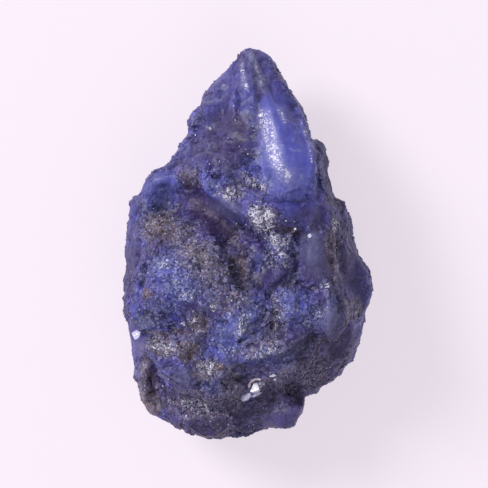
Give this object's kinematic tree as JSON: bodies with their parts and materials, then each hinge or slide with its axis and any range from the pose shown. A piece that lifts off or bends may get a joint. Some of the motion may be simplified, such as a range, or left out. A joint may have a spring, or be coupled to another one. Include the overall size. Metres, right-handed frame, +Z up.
{
  "type": "rough blue sapphire",
  "caption": "Uncut lump of blue sapphire: one pointed, lumpy corundum stone with a glassy boss and mica specks, lying on a flat back.",
  "frame": {"origin": "under the middle of the stone's box, on the flat parting face that it rests on", "axes": "+Y towards the pointed end, +Z up out of the face that is shown, +X to the right of that face"},
  "size_m": [0.032, 0.0498, 0.0216],
  "materials": {
    "sapphire": "broken crystalline skin, glassy where it is smooth and grainy elsewhere"
  },
  "bodies": {
    "root": {"rough_sapphire": "sapphire"}
  },
  "joints": []
}
